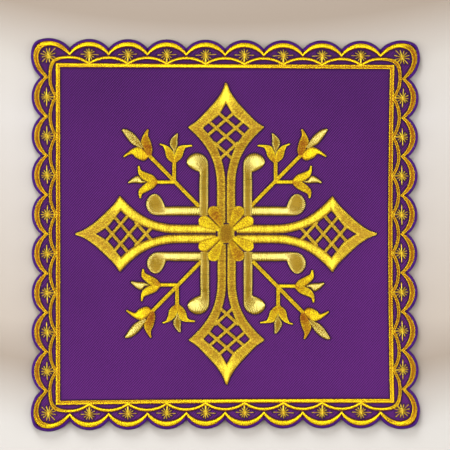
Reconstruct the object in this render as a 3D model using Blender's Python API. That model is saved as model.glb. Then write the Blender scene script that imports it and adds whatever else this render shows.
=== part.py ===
"""A chalice pall: a stiff square of violet cloth with a scalloped edge, laid flat, embroidered in gold.

Metres, +Z up, the underside on z = 0. Every stroke of embroidery is a satin column: a run of rungs
between a left edge and a right edge, with a low crown over them, as stitches lie over their padding.
"""

import math

import bmesh
import bpy
from mathutils import Vector

MM = 0.001

# Levels above the surface that the pall lies on.
PANEL_THICK = 2.4 * MM
EDGE_ROUND = 0.4 * MM
PIECE_GAP = 0.3 * MM
STITCH_BASE = PANEL_THICK + PIECE_GAP
STITCH_HIGH = 0.7 * MM
ROSETTE_BASE = STITCH_BASE + STITCH_HIGH + PIECE_GAP
ROSETTE_HIGH = 0.6 * MM
# Strokes that cross in one piece start this much above each other.
LAYER_STEP = 0.03 * MM

# The embroidery's two centres: the machine set the border and the cross a little apart.
BORDER_CENTRE = (0.45 * MM, 0.2 * MM)
CROSS_CENTRE = (0.85 * MM, 0.35 * MM)

# Border, as distances from its centre.
SCALLOPS_A_SIDE = 8
SCALLOP_PITCH = 16.08 * MM
SIDE_HALF = SCALLOPS_A_SIDE * SCALLOP_PITCH / 2
STEPS_A_SCALLOP = 6
STEPS_AN_ARCH = 5

# How far the middle of each side is drawn in by its stitching, and over what length.
DRAWN_IN = {"left": 0.1 * MM, "right": 0.8 * MM, "top": 0.0, "bottom": 0.35 * MM}
DRAWN_REACH = 72.0 * MM
DRAWN_POWER = 4
# How far the scallops of each side reach out past the square line, against their drawing.
SCALLOP_REACH = {"left": 0.985, "right": 1.01, "top": 0.97, "bottom": 1.03}
# The whole border is a little narrower than it is long, and less long at its right side.
NARROWED = 0.9956
TAPER = 0.083

# Each ring of arches: the level of its valleys and of its tops, from the border's centre.
CLOTH_VALLEY, CLOTH_TOP = 76.5 * MM, 80.35 * MM
CORD_OUTER_VALLEY, CORD_OUTER_TOP = 74.7 * MM, 79.45 * MM
CORD_INNER_VALLEY, CORD_INNER_TOP = 73.35 * MM, 77.15 * MM
ARCH_OUTER_FOOT, ARCH_OUTER_TOP = 70.75 * MM, 73.2 * MM
ARCH_INNER_FOOT, ARCH_INNER_TOP = 69.45 * MM, 71.95 * MM

# Half of each corner's curve, from the last valley to the diagonal: along the side, out from the centre.
CLOTH_CORNER = ((67.2, 79.0), (71.6, 80.5), (75.8, 80.3))
CLOTH_CORNER_TIP = 78.9
CORD_OUTER_CORNER = ((67.4, 77.8), (71.6, 79.5), (75.5, 79.25))
CORD_OUTER_CORNER_TIP = 77.8
CORD_INNER_CORNER = ((68.3, 76.3), (71.8, 77.45), (74.4, 77.15))
CORD_INNER_CORNER_TIP = 76.2
ARCH_OUTER_CORNER = ((60.4, 72.7), (64.6, 73.25), (69.0, 72.75))
ARCH_OUTER_CORNER_TIP = 71.5
ARCH_INNER_CORNER = ((60.5, 71.5), (64.4, 72.0), (68.1, 71.6))
ARCH_INNER_CORNER_TIP = 70.4
CORNER_STEPS = 2

FRAME_OUTER, FRAME_INNER = 70.1 * MM, 68.45 * MM
FRAME_STEPS = 6

# Stars: rays in turns of 30 degrees, the two along the edge longer, the one to the arches longest.
STAR_LEVEL = 73.9 * MM
STAR_RAYS = 12
STAR_RAY = 2.4 * MM
STAR_LONG_RAY = 3.9 * MM
STAR_TAIL = 3.7 * MM
STAR_HUB = 0.75 * MM
STAR_HIGH = 0.55 * MM
CORNER_STAR_AT = 73.3 * MM
CORNER_STAR_RAY = 3.1 * MM
CORNER_STAR_TAIL = 3.3 * MM
STAR_LIFT = 0.05 * MM

# One side of a cross arm's satin band: outer edge and inner edge of each rung,
# as (distance along the arm, distance from its axis) in millimetres.
ARM_RUNGS = (
    # outer along, outer aside, inner along, inner aside
    (4.4, 3.7, 4.4, 0.33),
    (19.8, 3.7, 19.8, 0.35),
    (25.0, 4.1, 25.0, 0.65),
    (30.5, 5.5, 30.6, 1.95),
    (35.6, 8.1, 36.1, 4.05),
    (39.9, 11.5, 40.5, 7.0),
    (43.9, 15.6, 43.5, 9.8),
    (46.2, 12.3, 45.9, 6.7),
    (49.6, 8.9, 48.6, 3.4),
    (54.3, 4.6, 51.1, 1.7),
    (58.6, 1.6, 53.1, 0.6),
)
ARM_TIP = (62.3, 54.3)
# Where each arm really lies, in millimetres against its drawing: right, upper, left and lower.
ARM_SHIFTS = ((0.0, -0.15), (0.0, 0.0), (0.1, -0.1), (0.25, 0.0))

# Window lines on one slant; the other slant mirrors them. From (along, aside) to (along, aside).
WINDOW_LINES = (
    (50.0, -3.4, 40.5, 7.6),
    (46.5, -7.4, 36.3, 4.4),
    (37.6, -5.0, 30.6, 2.8),
)
WINDOW_LINE_WIDE = 1.25
WINDOW_LEVELS = ((0.05, 0.50), (0.10, 0.55))

# Half of a pale staff, from its elbow to the end of its round head, in the arm's own axes.
STAFF_RUNGS = (
    # outer along, outer aside, inner along, inner aside
    (7.4, 7.4, 10.95, 10.95),
    (23.9, 7.4, 23.9, 10.95),
    (27.2, 7.4, 25.3, 11.0),
    (29.9, 7.7, 25.5, 11.4),
    (31.7, 8.9, 25.7, 12.0),
    (32.8, 10.9, 26.0, 12.7),
    (32.8, 13.0, 26.4, 13.5),
    (31.9, 14.7, 26.9, 14.3),
    (30.8, 15.7, 27.5, 15.1),
    (29.6, 16.1, 28.6, 15.9),
)
# Right and left, up and down: the four quarters, and how far each one's staff sits off its place.
QUARTERS = ((1, 1), (-1, 1), (-1, -1), (1, -1))
STAFF_SHIFTS = ((-0.25, 0.15), (0.0, 0.2), (0.4, -0.25), (-0.1, -0.3))

# A spray in the upper right quarter, in millimetres from the cross's centre, and how far each
# quarter's spray sits off its place.
SPRAY_SHIFTS = ((-0.2, 0.3), (-0.75, 0.25), (0.45, -0.15), (0.85, -0.65))
STEM_WIDE, STEM_HIGH = 1.4, 0.6
STEM_NODE = (20.7, 21.5)
STEMS = (
    # from, to
    ((11.9, 12.6), (31.4, 32.4)),
    (STEM_NODE, (20.6, 29.8)),
    ((20.9, 21.0), (28.8, 21.0)),
)
# Each gold petal: points of its left edge and its right edge, base to tip.
GOLD_PETALS = (
    (((30.3, 31.5), (29.7, 34.2), (30.4, 37.6), (31.5, 40.3), (31.25, 42.6)),
     ((31.4, 32.4), (33.0, 34.6), (34.1, 37.0), (33.9, 39.1), (31.7, 42.8))),
    (((31.3, 32.2), (33.2, 34.3), (35.2, 35.4), (37.9, 34.6), (41.5, 31.8)),
     ((31.2, 31.4), (33.2, 29.9), (36.3, 31.1), (38.1, 32.6), (41.4, 31.3))),
    (((19.8, 29.1), (17.6, 31.2), (16.6, 34.0), (15.8, 35.3), (13.3, 35.8)),
     ((20.9, 29.4), (20.6, 31.6), (20.0, 33.6), (18.4, 35.8), (13.4, 36.3))),
    (((20.3, 29.4), (20.6, 31.6), (21.2, 33.6), (23.4, 35.7), (26.4, 36.9)),
     ((21.4, 29.1), (23.6, 31.0), (24.4, 34.0), (25.2, 35.9), (26.6, 36.4))),
    (((27.4, 21.3), (29.4, 23.7), (32.5, 25.0), (34.4, 25.9), (35.0, 27.7)),
     ((27.4, 20.8), (30.8, 20.9), (33.9, 22.4), (35.3, 24.6), (35.5, 27.6))),
    (((27.4, 21.3), (30.8, 21.3), (33.2, 19.8), (35.2, 17.5), (34.9, 14.5)),
     ((27.4, 20.7), (29.2, 18.6), (32.0, 17.1), (33.9, 16.1), (34.4, 14.4))),
)
# The pale middle petals, the same way.
PALE_PETALS = (
    (((34.6, 37.4), (36.7, 40.3), (39.5, 42.4), (41.7, 42.9)),
     ((35.9, 35.85), (38.1, 37.0), (40.2, 39.5), (42.1, 42.4))),
    (((20.2, 34.3), (19.3, 36.4), (19.3, 38.6), (19.1, 41.0)),
     ((21.0, 34.3), (22.4, 36.6), (21.8, 38.8), (19.6, 41.0))),
    (((34.2, 21.7), (35.6, 23.5), (37.6, 22.7), (39.6, 21.0)),
     ((34.0, 20.7), (35.6, 20.7), (37.6, 20.8), (39.4, 20.5))),
)
# Below the cross the last two pale petals came out a little different.
PALE_PETALS_BELOW = (
    PALE_PETALS[0],
    (((20.0, 34.3), (19.1, 36.2), (19.2, 38.4), (19.2, 40.4)),
     ((21.0, 34.3), (22.2, 36.4), (21.4, 38.6), (19.8, 40.5))),
    (((34.2, 21.5), (35.6, 23.0), (37.6, 22.0), (39.6, 20.1)),
     ((34.0, 20.3), (35.6, 19.9), (37.6, 19.8), (39.4, 19.5))),
)
PETAL_STEPS = 6

# Rosette.
ROSETTE_PETALS = 8
ROSETTE_TURN = 29.5
PETAL_RUNGS = (
    # out from the centre, half width
    (4.0, 0.95),
    (6.2, 1.45),
    (8.6, 2.05),
    (10.2, 2.25),
    (11.4, 2.05),
    (12.2, 1.2),
)
DISC_WIDE, DISC_LONG = 3.1 * MM, 3.6 * MM
DISC_POINTS = 24
DISC_RINGS = ((1.0, 0.0), (1.0, 0.45), (0.86, 0.85), (0.5, 1.0))

# Sections over a rung: how far across it, and how high of the column's own height.
FINE_SECTION = ((0.0, 0.0), (0.2, 1.0), (0.8, 1.0), (1.0, 0.0))
BROAD_SECTION = ((0.0, 0.0), (0.1, 0.7), (0.5, 1.0), (0.9, 0.7), (1.0, 0.0))


def make_material(name, colour, roughness):
    """A plain material of one colour."""
    material = bpy.data.materials.new(name)
    material.use_nodes = True
    shader = material.node_tree.nodes["Principled BSDF"]
    shader.inputs["Base Color"].default_value = (*colour, 1.0)
    shader.inputs["Roughness"].default_value = roughness
    material.diffuse_color = (*colour, 1.0)
    return material


def add_piece(name, points, faces, material):
    """A new object of one closed mesh, its faces turned outward."""
    mesh = bpy.data.meshes.new(name)
    mesh.from_pydata(points, [], faces)
    work = bmesh.new()
    work.from_mesh(mesh)
    bmesh.ops.recalc_face_normals(work, faces=work.faces)
    work.to_mesh(mesh)
    work.free()
    mesh.materials.append(material)
    piece = bpy.data.objects.new(name, mesh)
    bpy.context.scene.collection.objects.link(piece)
    return piece


def curve_through(points, steps):
    """Points of a smooth curve through the given ones, with so many steps between two of them."""
    ends = [Vector(p) for p in (points[0], *points, points[-1])]
    found = []
    for a, b, c, d in zip(ends, ends[1:], ends[2:], ends[3:]):
        for step in range(steps):
            t = step / steps
            even = 2 * b + (2 * a - 5 * b + 4 * c - d) * t**2
            odd = (c - a) * t + (3 * b - a - 3 * c + d) * t**3
            found.append(tuple((even + odd) / 2))
    found.append(tuple(points[-1]))
    return found


def column_mesh(left, right, base, high, section, closed=False):
    """Points and faces of a satin column between two edges that have as many points as each other."""
    count, wide = len(left), len(section)
    points = [
        (a[0] + (b[0] - a[0]) * across, a[1] + (b[1] - a[1]) * across, base + high * up)
        for a, b in zip(left, right)
        for across, up in section
    ]
    faces = []
    for rung in range(count if closed else count - 1):
        here, there = rung * wide, (rung + 1) % count * wide
        for k in range(wide):
            after = (k + 1) % wide
            faces.append((here + k, here + after, there + after, there + k))
    if not closed:
        faces.append(tuple(range(wide)))
        faces.append(tuple((count - 1) * wide + k for k in range(wide)))
    return points, faces


def joined(meshes):
    """One list of points and one of faces from several."""
    points, faces = [], []
    for more_points, more_faces in meshes:
        start = len(points)
        points += more_points
        faces += [tuple(start + corner for corner in face) for face in more_faces]
    return points, faces


def united(name, first, others, material):
    """A piece made of the first mesh with the others joined to it, in turn, by Boolean unions."""
    piece = add_piece(name, *first, material)
    for k, other in enumerate(others):
        tool = add_piece(f"{name}_tool_{k}", *other, material)
        union = piece.modifiers.new("union", "BOOLEAN")
        union.operation = "UNION"
        union.solver = "EXACT"
        union.object = tool
        whole = bpy.data.meshes.new_from_object(piece.evaluated_get(bpy.context.evaluated_depsgraph_get()))
        piece.modifiers.remove(union)
        piece.data = whole
        whole.name = name
        bpy.data.objects.remove(tool)
    return piece


def turned(points, degrees, centre=(0.0, 0.0)):
    """Points turned about the upright axis and moved to a centre."""
    cos, sin = math.cos(math.radians(degrees)), math.sin(math.radians(degrees))
    return [(x * cos - y * sin + centre[0], x * sin + y * cos + centre[1], *rest) for x, y, *rest in points]


def in_quarter(points, quarter, shift):
    """Points of the upper right quarter, mirrored into another and shifted by some millimetres."""
    return [
        (
            x * quarter[0] + shift[0] * MM + CROSS_CENTRE[0],
            y * quarter[1] + shift[1] * MM + CROSS_CENTRE[1],
            *rest,
        )
        for x, y, *rest in points
    ]


def drawn_in(x, y):
    """Where a point of the border lies once the sides are drawn in."""
    over_side = max(0.0, 1 - (x / DRAWN_REACH) ** 2)
    over_end = max(0.0, 1 - (y / DRAWN_REACH) ** 2)
    reach_x, reach_y = min(1.0, abs(x) / FRAME_INNER), min(1.0, abs(y) / FRAME_INNER)
    across = DRAWN_IN["right"] if x > 0 else -DRAWN_IN["left"]
    along = DRAWN_IN["top"] if y > 0 else -DRAWN_IN["bottom"]
    past_x = math.copysign(max(0.0, abs(x) - FRAME_OUTER), x)
    past_y = math.copysign(max(0.0, abs(y) - FRAME_OUTER), y)
    x += past_x * (SCALLOP_REACH["right" if x > 0 else "left"] - 1)
    y += past_y * (SCALLOP_REACH["top" if y > 0 else "bottom"] - 1)
    return (
        x * NARROWED - across * over_end * reach_x**DRAWN_POWER + BORDER_CENTRE[0],
        y * (1 - TAPER * x) - along * over_side * reach_y**DRAWN_POWER + BORDER_CENTRE[1],
    )


def arch(start, foot, top, steps, first=True):
    """An arc over one pitch from start, from foot level to top level and back, as (along, out) points."""
    rise, half = top - foot, SCALLOP_PITCH / 2
    radius = (half**2 + rise**2) / (2 * rise)
    reach = math.asin(half / radius)
    angles = [reach * (2 * k / steps - 1) for k in range(0 if first else 1, steps + 1)]
    return [(start + half + radius * math.sin(a), top - radius * (1 - math.cos(a))) for a in angles]


def border_ring(foot, top, corner, corner_tip, shift, steps):
    """A closed ring of arches, four sides and four corners, as points in the plane.

    shift is where the first arch of a side starts, counted from the side's last valley.
    """
    side = []
    count = SCALLOPS_A_SIDE - round(2 * shift / SCALLOP_PITCH)
    for k in range(count):
        side += arch(-SIDE_HALF + shift + k * SCALLOP_PITCH, foot, top, steps, first=not side)
    half = [side[-1], *[(a * MM, b * MM) for a, b in corner], (corner_tip * MM, corner_tip * MM)]
    bend = half + [(b, a) for a, b in half[-2::-1]]
    ring = []
    for turn in range(4):
        rounded = curve_through(bend, CORNER_STEPS)
        ring += turned(side[:-1] + rounded[:-1], -90 * turn)
    return [drawn_in(x, y) for x, y in ring]


def star_mesh(at, tail_angle, ray, tail, lift):
    """A low star with a raised hub; its tail and the two rays across it are longer."""
    rim = []
    for k in range(STAR_RAYS):
        angle = tail_angle + 2 * math.pi * k / STAR_RAYS
        length = {0: tail, 3: STAR_LONG_RAY, STAR_RAYS - 3: STAR_LONG_RAY}.get(k, ray)
        rim += [(length, angle), (STAR_HUB, angle + math.pi / STAR_RAYS)]
    base = STITCH_BASE + lift
    points = [(at[0] + r * math.cos(a), at[1] + r * math.sin(a), base) for r, a in rim]
    crowned = [(at[0] + r * math.cos(a), at[1] + r * math.sin(a), base + STAR_HIGH / 2) for r, a in rim]
    count = len(rim)
    faces = [tuple(range(count))]
    faces += [(k, (k + 1) % count, count + (k + 1) % count, count + k) for k in range(count)]
    faces += [(count + k, count + (k + 1) % count, 2 * count) for k in range(count)]
    return points + crowned + [(at[0], at[1], base + STAR_HIGH)], faces


def make_panel(material):
    """The stiff cloth, with softened edges."""
    outline = border_ring(CLOTH_VALLEY, CLOTH_TOP, CLOTH_CORNER, CLOTH_CORNER_TIP, 0.0, STEPS_A_SCALLOP)
    count = len(outline)
    inward = []
    for k, (x, y) in enumerate(outline):
        before, after = outline[k - 1], outline[(k + 1) % count]
        along = Vector((after[0] - before[0], after[1] - before[1])).normalized()
        inward.append((x + along.y * EDGE_ROUND, y - along.x * EDGE_ROUND))
    rings = (
        (inward, 0.0),
        (outline, EDGE_ROUND),
        (outline, PANEL_THICK - EDGE_ROUND),
        (inward, PANEL_THICK),
    )
    points = [(x, y, z) for ring, z in rings for x, y in ring]
    faces = [tuple(range(count)), tuple(3 * count + k for k in range(count))]
    for ring in range(3):
        for k in range(count):
            after = (k + 1) % count
            here, there = ring * count, (ring + 1) * count
            faces.append((here + k, here + after, there + after, there + k))
    return add_piece("panel", points, faces, material)


def make_border(material):
    """The cord of crescents, and the lace of square line, arches and stars."""
    outer = border_ring(
        CORD_OUTER_VALLEY, CORD_OUTER_TOP, CORD_OUTER_CORNER, CORD_OUTER_CORNER_TIP, 0.0, STEPS_A_SCALLOP)
    inner = border_ring(
        CORD_INNER_VALLEY, CORD_INNER_TOP, CORD_INNER_CORNER, CORD_INNER_CORNER_TIP, 0.0, STEPS_A_SCALLOP)
    cord = column_mesh(outer, inner, STITCH_BASE, STITCH_HIGH, FINE_SECTION, closed=True)
    add_piece("scallop_cord", *cord, material)

    half = SCALLOP_PITCH / 2
    outer = border_ring(
        ARCH_OUTER_FOOT, ARCH_OUTER_TOP, ARCH_OUTER_CORNER, ARCH_OUTER_CORNER_TIP, half, STEPS_AN_ARCH)
    inner = border_ring(
        ARCH_INNER_FOOT, ARCH_INNER_TOP, ARCH_INNER_CORNER, ARCH_INNER_CORNER_TIP, half, STEPS_AN_ARCH)
    arches = column_mesh(outer, inner, STITCH_BASE, STITCH_HIGH, FINE_SECTION, closed=True)

    spots = [-1 + 2 * k / FRAME_STEPS for k in range(FRAME_STEPS)]
    outer, inner = (
        [drawn_in(*p) for turn in range(4) for p in turned([(out * s, out) for s in spots], -90 * turn)]
        for out in (FRAME_OUTER, FRAME_INNER)
    )
    frame = column_mesh(outer, inner, STITCH_BASE - STAR_LIFT, STITCH_HIGH, FINE_SECTION, closed=True)

    stars = []
    for turn in range(4):
        for k in range(SCALLOPS_A_SIDE):
            at = (-SIDE_HALF + (k + 0.5) * SCALLOP_PITCH, STAR_LEVEL)
            at = drawn_in(*turned([at], -90 * turn)[0])
            stars.append(star_mesh(at, -math.pi / 2 * (1 + turn), STAR_RAY, STAR_TAIL, STAR_LIFT))
        at = drawn_in(*turned([(CORNER_STAR_AT, CORNER_STAR_AT)], -90 * turn)[0])
        tail_angle = -math.pi * 3 / 4 - math.pi / 2 * turn
        stars.append(star_mesh(at, tail_angle, CORNER_STAR_RAY, CORNER_STAR_TAIL, STAR_LIFT))
    united("border_lace", arches, [frame, joined(stars)], material)


def make_cross(material):
    """Four arms, each a satin band round a window of crossed lines."""
    one_side = [tuple(v * MM for v in rung) for rung in ARM_RUNGS]
    left = [(a, -b) for a, b, _, _ in one_side] + [(ARM_TIP[0] * MM, 0.0)]
    right = [(a, -b) for _, _, a, b in one_side] + [(ARM_TIP[1] * MM, 0.0)]
    left += [(a, b) for a, b, _, _ in one_side[::-1]]
    right += [(a, b) for _, _, a, b in one_side[::-1]]
    band = column_mesh(left, right, STITCH_BASE, STITCH_HIGH, BROAD_SECTION)
    lines = []
    for slant, (lift, high) in zip((1, -1), WINDOW_LEVELS):
        for x0, y0, x1, y1 in WINDOW_LINES:
            start, stop = Vector((x0, y0 * slant)) * MM, Vector((x1, y1 * slant)) * MM
            along = (stop - start).normalized()
            aside = Vector((-along.y, along.x)) * WINDOW_LINE_WIDE * MM / 2
            lines.append(column_mesh(
                [start + aside, stop + aside], [start - aside, stop - aside],
                STITCH_BASE + lift * MM, high * MM, FINE_SECTION))
    arm = united("cross_arm", band, lines, material)
    points = [tuple(v.co) for v in arm.data.vertices]
    faces = [tuple(f.vertices) for f in arm.data.polygons]
    bpy.data.objects.remove(arm)
    for k in range(4):
        shift = ARM_SHIFTS[k]
        centre = (CROSS_CENTRE[0] + shift[0] * MM, CROSS_CENTRE[1] + shift[1] * MM)
        add_piece(f"cross_arm_{k + 1}", turned(points, 90 * k, centre), faces, material)


def make_staffs(material):
    """Four pale angles, with a round head on each end."""
    outer = [(b, a) for a, b, _, _ in STAFF_RUNGS[:0:-1]] + [(a, b) for a, b, _, _ in STAFF_RUNGS]
    inner = [(b, a) for _, _, a, b in STAFF_RUNGS[:0:-1]] + [(a, b) for _, _, a, b in STAFF_RUNGS]
    for k, (quarter, shift) in enumerate(zip(QUARTERS, STAFF_SHIFTS)):
        edges = [in_quarter([(x * MM, y * MM) for x, y in edge], quarter, shift) for edge in (outer, inner)]
        staff = column_mesh(*edges, STITCH_BASE, STITCH_HIGH, BROAD_SECTION)
        add_piece(f"staff_{k + 1}", *staff, material)


def petal_column(left, right, high, section):
    """A petal between two edges given in millimetres."""
    steps = max(1, round(PETAL_STEPS / (len(left) - 1)))
    edges = [[(x * MM, y * MM) for x, y in curve_through(edge, steps)] for edge in (left, right)]
    return column_mesh(*edges, STITCH_BASE, high, section)


def make_sprays(gold, pale):
    """Four sprays of three lilies, mirrored about both arms of the cross."""
    stems = []
    for k, ((x0, y0), (x1, y1)) in enumerate(STEMS):
        start, stop = Vector((x0, y0)) * MM, Vector((x1, y1)) * MM
        along = (stop - start).normalized()
        aside = Vector((-along.y, along.x)) * STEM_WIDE * MM / 2
        stems.append(column_mesh(
            [start + aside, stop + aside], [start - aside, stop - aside],
            STITCH_BASE + LAYER_STEP * k, STEM_HIGH * MM, FINE_SECTION))
    petals = [
        petal_column(left, right, STITCH_HIGH - LAYER_STEP * k, FINE_SECTION)
        for k, (left, right) in enumerate(GOLD_PETALS)
    ]
    spray = united("spray", stems[0], stems[1:] + petals, gold)
    points = [tuple(v.co) for v in spray.data.vertices]
    faces = [tuple(f.vertices) for f in spray.data.polygons]
    bpy.data.objects.remove(spray)
    for k, (quarter, shift) in enumerate(zip(QUARTERS, SPRAY_SHIFTS)):
        add_piece(f"spray_{k + 1}", in_quarter(points, quarter, shift), faces, gold)
        for letter, (left, right) in zip("abc", PALE_PETALS if quarter[1] > 0 else PALE_PETALS_BELOW):
            heart_points, heart_faces = petal_column(left, right, STITCH_HIGH, FINE_SECTION)
            heart = in_quarter(heart_points, quarter, shift)
            add_piece(f"lily_heart_{k + 1}{letter}", heart, heart_faces, pale)


def make_rosette(petal_material, disc_material):
    """Eight petals round an oval disc, over the crossing."""
    left = [(a * MM, b * MM) for a, b in PETAL_RUNGS]
    right = [(a * MM, -b * MM) for a, b in PETAL_RUNGS]
    for k in range(ROSETTE_PETALS):
        quarter, side = divmod(k, 2)
        angle = 90 * quarter + (ROSETTE_TURN if side == 0 else 90 - ROSETTE_TURN)
        edges = [turned(edge, angle, CROSS_CENTRE) for edge in (left, right)]
        petal = column_mesh(*edges, ROSETTE_BASE, ROSETTE_HIGH, BROAD_SECTION)
        add_piece(f"rosette_petal_{k + 1}", *petal, petal_material)
    points = []
    for reach, up in DISC_RINGS:
        for k in range(DISC_POINTS):
            angle = 2 * math.pi * k / DISC_POINTS
            points.append((
                CROSS_CENTRE[0] + DISC_WIDE * reach * math.cos(angle),
                CROSS_CENTRE[1] + DISC_LONG * reach * math.sin(angle),
                ROSETTE_BASE + ROSETTE_HIGH * up,
            ))
    last = (len(DISC_RINGS) - 1) * DISC_POINTS
    faces = [tuple(range(DISC_POINTS)), tuple(last + k for k in range(DISC_POINTS))]
    for ring in range(len(DISC_RINGS) - 1):
        for k in range(DISC_POINTS):
            after = (k + 1) % DISC_POINTS
            here, there = ring * DISC_POINTS, (ring + 1) * DISC_POINTS
            faces.append((here + k, here + after, there + after, there + k))
    add_piece("rosette_disc", points, faces, disc_material)


def main():
    for thing in list(bpy.data.objects):
        bpy.data.objects.remove(thing)
    violet = make_material("violet_twill", (0.12, 0.024, 0.165), 0.85)
    golden = make_material("golden_thread", (0.80, 0.50, 0.035), 0.45)
    pale = make_material("pale_gold_thread", (0.66, 0.54, 0.16), 0.45)
    old_gold = make_material("old_gold_thread", (0.48, 0.27, 0.03), 0.5)
    make_panel(violet)
    make_border(golden)
    make_cross(old_gold)
    make_staffs(pale)
    make_sprays(golden, pale)
    make_rosette(golden, old_gold)


main()
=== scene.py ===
# %% [markdown]
# # A chalice pall, cloth and gold thread
#
# A chalice pall is a small stiff square of cloth that covers the chalice. This one is violet twill with a
# scalloped edge, and all its decoration is machine embroidery in gold thread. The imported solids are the
# frame: they give every outline and level. This lesson lays real thread over them, stitch by stitch,
# because the look of satin stitch comes from the way its threads run. Where they run across the light they
# shine, and where they run along it they go dark, with a bright rim at the turn of each stitch.

# %% Load the frame
import math
import random

import bmesh
import bpy
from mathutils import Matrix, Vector, kdtree
from mathutils.geometry import delaunay_2d_cdt


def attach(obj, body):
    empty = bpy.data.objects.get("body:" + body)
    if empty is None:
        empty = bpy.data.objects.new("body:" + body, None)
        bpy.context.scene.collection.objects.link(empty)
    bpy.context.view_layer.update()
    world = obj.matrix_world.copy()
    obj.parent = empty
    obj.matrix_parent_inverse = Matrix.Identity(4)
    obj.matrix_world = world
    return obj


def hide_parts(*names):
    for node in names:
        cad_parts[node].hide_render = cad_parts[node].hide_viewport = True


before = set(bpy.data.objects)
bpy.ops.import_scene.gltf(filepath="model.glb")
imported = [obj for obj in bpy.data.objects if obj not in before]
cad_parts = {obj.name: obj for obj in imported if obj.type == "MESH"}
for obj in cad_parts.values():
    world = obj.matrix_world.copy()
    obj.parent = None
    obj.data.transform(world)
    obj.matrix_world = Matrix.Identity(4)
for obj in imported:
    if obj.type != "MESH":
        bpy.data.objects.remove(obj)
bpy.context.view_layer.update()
print("solids in the frame:", len(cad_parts))

# %% [markdown]
# ## Sizes
#
# The frame gives boxes and not curves, so the maker's measurements stand here again. They are in
# millimetres and become metres where a mesh is made. The border and the cross have their own centres,
# because the embroidery machine was set twice. The lilies and the pale staffs were sewn last, and each
# quarter of them sits a little off its place, as it does in real machine work.

# %% The pall's measurements
MM = 0.001
CLOTH_LEVEL = 2.4
EDGE_ROUND = 0.4
BORDER_CENTRE = (0.45, 0.2)
CROSS_CENTRE = (0.85, 0.35)
SCALLOPS_A_SIDE = 8
PITCH = 16.08
SIDE_HALF = SCALLOPS_A_SIDE * PITCH / 2
DRAWN_IN = {"left": 0.1, "right": 0.8, "top": 0.0, "bottom": 0.35}
DRAWN_REACH = 72.0
DRAWN_POWER = 4
SCALLOP_REACH = {"left": 0.985, "right": 1.01, "top": 0.97, "bottom": 1.03}
NARROWED = 0.9956
TAPER = 0.000083
FRAME_OUTER, FRAME_INNER = 70.1, 68.45

# Each line of arches: valley, top, the corner's bend as (along, out) points, and the bend's middle.
CLOTH_EDGE = (76.5, 80.35, ((67.2, 79.0), (71.6, 80.5), (75.8, 80.3)), 78.9)
CORD_OUTER = (74.7, 79.45, ((67.4, 77.8), (71.6, 79.5), (75.5, 79.25)), 77.8)
CORD_INNER = (73.35, 77.15, ((68.3, 76.3), (71.8, 77.45), (74.4, 77.15)), 76.2)
ARCH_OUTER = (70.75, 73.2, ((60.4, 72.7), (64.6, 73.25), (69.0, 72.75)), 71.5)
ARCH_INNER = (69.45, 71.95, ((60.5, 71.5), (64.4, 72.0), (68.1, 71.6)), 70.4)
print("over the scallops:", 2 * max(p[1] for p in CLOTH_EDGE[2]), "mm")

# %% [markdown]
# ## Drawing with rails
#
# A digitiser plans satin stitch as two rails with rungs between them: each rung is one stitch. Every shape
# here is drawn that way. These helpers bend a smooth line through a few points, turn it about a centre,
# and draw the sides of the border in a little, as the tension of the stitching does.

# %% Lines, turns and the drawn-in border
def curve_through(points, steps):
    """A smooth line through the points, with so many steps between two of them."""
    ends = [points[0], *points, points[-1]]
    line = []
    for before, start, stop, after in zip(ends, ends[1:], ends[2:], ends[3:]):
        for step in range(steps):
            t = step / steps
            line.append(tuple(
                0.5 * (
                    2 * b + (c - a) * t + (2 * a - 5 * b + 4 * c - d) * t**2
                    + (3 * b - a - 3 * c + d) * t**3)
                for a, b, c, d in zip(before, start, stop, after)
            ))
    return line + [tuple(points[-1])]


def turned(points, degrees, centre=(0.0, 0.0)):
    """The points turned about the upright axis, then moved to a centre."""
    cos, sin = math.cos(math.radians(degrees)), math.sin(math.radians(degrees))
    return [(x * cos - y * sin + centre[0], x * sin + y * cos + centre[1]) for x, y in points]


def drawn_in(x, y):
    """Where a point of the border lies on the finished cloth, with its sides drawn in."""
    over_side, over_end = (max(0.0, 1 - (v / DRAWN_REACH) ** 2) for v in (x, y))
    reach_x, reach_y = (min(1.0, abs(v) / FRAME_INNER) ** DRAWN_POWER for v in (x, y))
    across = DRAWN_IN["right"] if x > 0 else -DRAWN_IN["left"]
    along = DRAWN_IN["top"] if y > 0 else -DRAWN_IN["bottom"]
    past_x, past_y = (math.copysign(max(0.0, abs(v) - FRAME_OUTER), v) for v in (x, y))
    x += past_x * (SCALLOP_REACH["right" if x > 0 else "left"] - 1)
    y += past_y * (SCALLOP_REACH["top" if y > 0 else "bottom"] - 1)
    return (
        x * NARROWED - across * over_end * reach_x + BORDER_CENTRE[0],
        y * (1 - TAPER * x) - along * over_side * reach_y + BORDER_CENTRE[1],
    )


# %% [markdown]
# ## Arches and corners
#
# The border is the same few lines again and again: an arc over each scallop, and one long bend round each
# corner. A line is kept as its separate spans, since the stitches of one scallop end in the valley before
# the next begins. The thin arches start half a scallop later, which is what makes the two rows interlace.

# %% Spans of a border line
STEPS_AN_ARC = 12
STEPS_ON_THE_EDGE = 14
STEPS_A_BEND = 5


def arc_over(start, foot, top, steps):
    """An arc over one pitch, as (along, out) points."""
    rise, half = top - foot, PITCH / 2
    radius = (half**2 + rise**2) / (2 * rise)
    reach = math.asin(half / radius)
    angles = [reach * (2 * k / steps - 1) for k in range(steps + 1)]
    return [(start + half + radius * math.sin(a), top - radius * (1 - math.cos(a))) for a in angles]


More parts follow.
